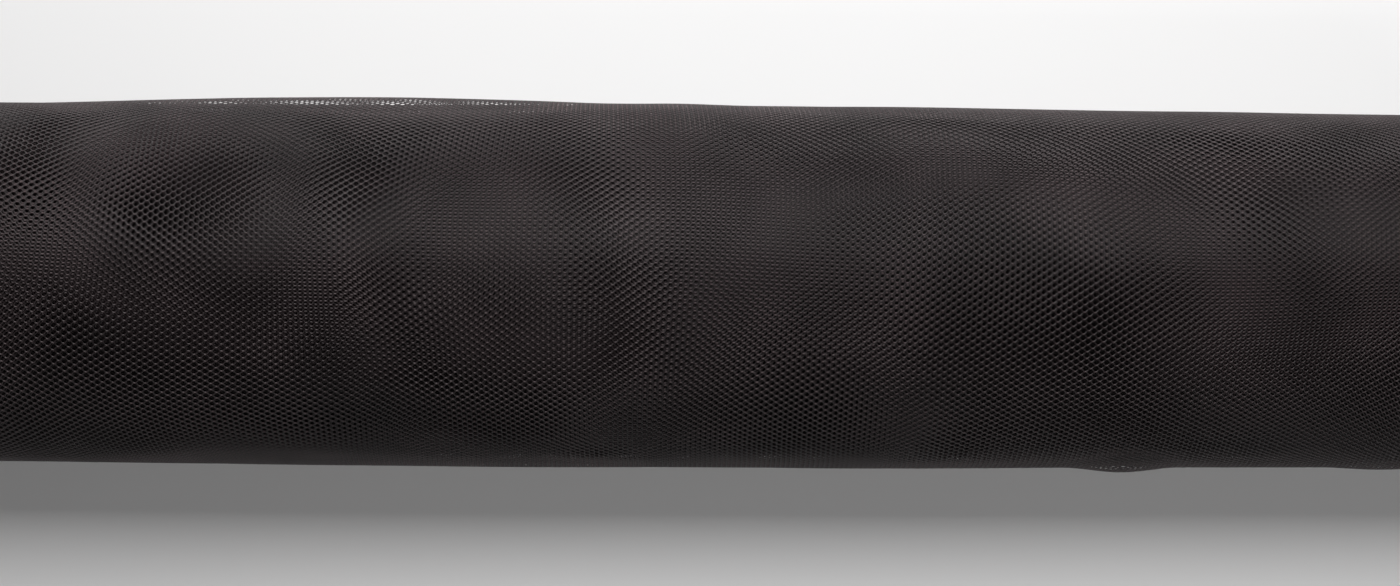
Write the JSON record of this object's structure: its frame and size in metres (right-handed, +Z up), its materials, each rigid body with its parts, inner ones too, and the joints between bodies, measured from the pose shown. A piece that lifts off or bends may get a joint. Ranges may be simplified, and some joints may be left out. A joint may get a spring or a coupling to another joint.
{
  "type": "roll of netting",
  "caption": "Wide roll of fine black knitted hexagonal netting wound on a spiral paperboard core, lying on its side, with a free end that peels off the rear.",
  "frame": {"origin": "centre of the core's bore, at mid length of the roll", "axes": "+X along the roll and its core, +Z up from the table, -Y the front; the free end lies over the rear, towards +Y"},
  "size_m": [0.463, 0.0897, 0.0888],
  "materials": {
    "netting": "fine black knitted mesh with a slight sheen",
    "kraft_board": "brown kraft board with cut edges",
    "liner_paper": "smooth brown kraft liner with spiral seams",
    "clear_tape": "thin clear packing tape, slightly yellow"
  },
  "bodies": {
    "roll": {"core_inner_liner": "liner_paper", "core_ply_1": "kraft_board", "core_ply_2": "kraft_board", "core_ply_3": "kraft_board", "core_outer_liner": "liner_paper", "start_tape_1": "clear_tape", "start_tape_2": "clear_tape", "start_tape_3": "clear_tape", "net_first_turn": "netting", "net_inner_turns": "netting", "net_middle_turns": "netting", "net_outer_turns": "netting", "net_last_turn": "netting"},
    "tail_1": {"net_tail_1": "netting"},
    "tail_2": {"net_tail_2": "netting"},
    "tail_3": {"net_tail_3": "netting"}
  },
  "joints": [
    {"name": "tail_fold_1", "type": "hinge", "parent": "roll", "child": "tail_1", "pos_m": [0, 0.00777, 0.04406], "axis": [1, 0, 0], "range_deg": [0, 30]},
    {"name": "tail_fold_2", "type": "hinge", "parent": "tail_1", "child": "tail_2", "pos_m": [0, 0.02876, 0.03427], "axis": [1, 0, 0], "range_deg": [0, 30]},
    {"name": "tail_fold_3", "type": "hinge", "parent": "tail_2", "child": "tail_3", "pos_m": [0, 0.04204, 0.0153], "axis": [1, 0, 0], "range_deg": [0, 30]}
  ],
  "couplings": [
    {"joint": "tail_fold_2", "follows": "tail_fold_1", "ratio": 1},
    {"joint": "tail_fold_3", "follows": "tail_fold_1", "ratio": 1}
  ]
}
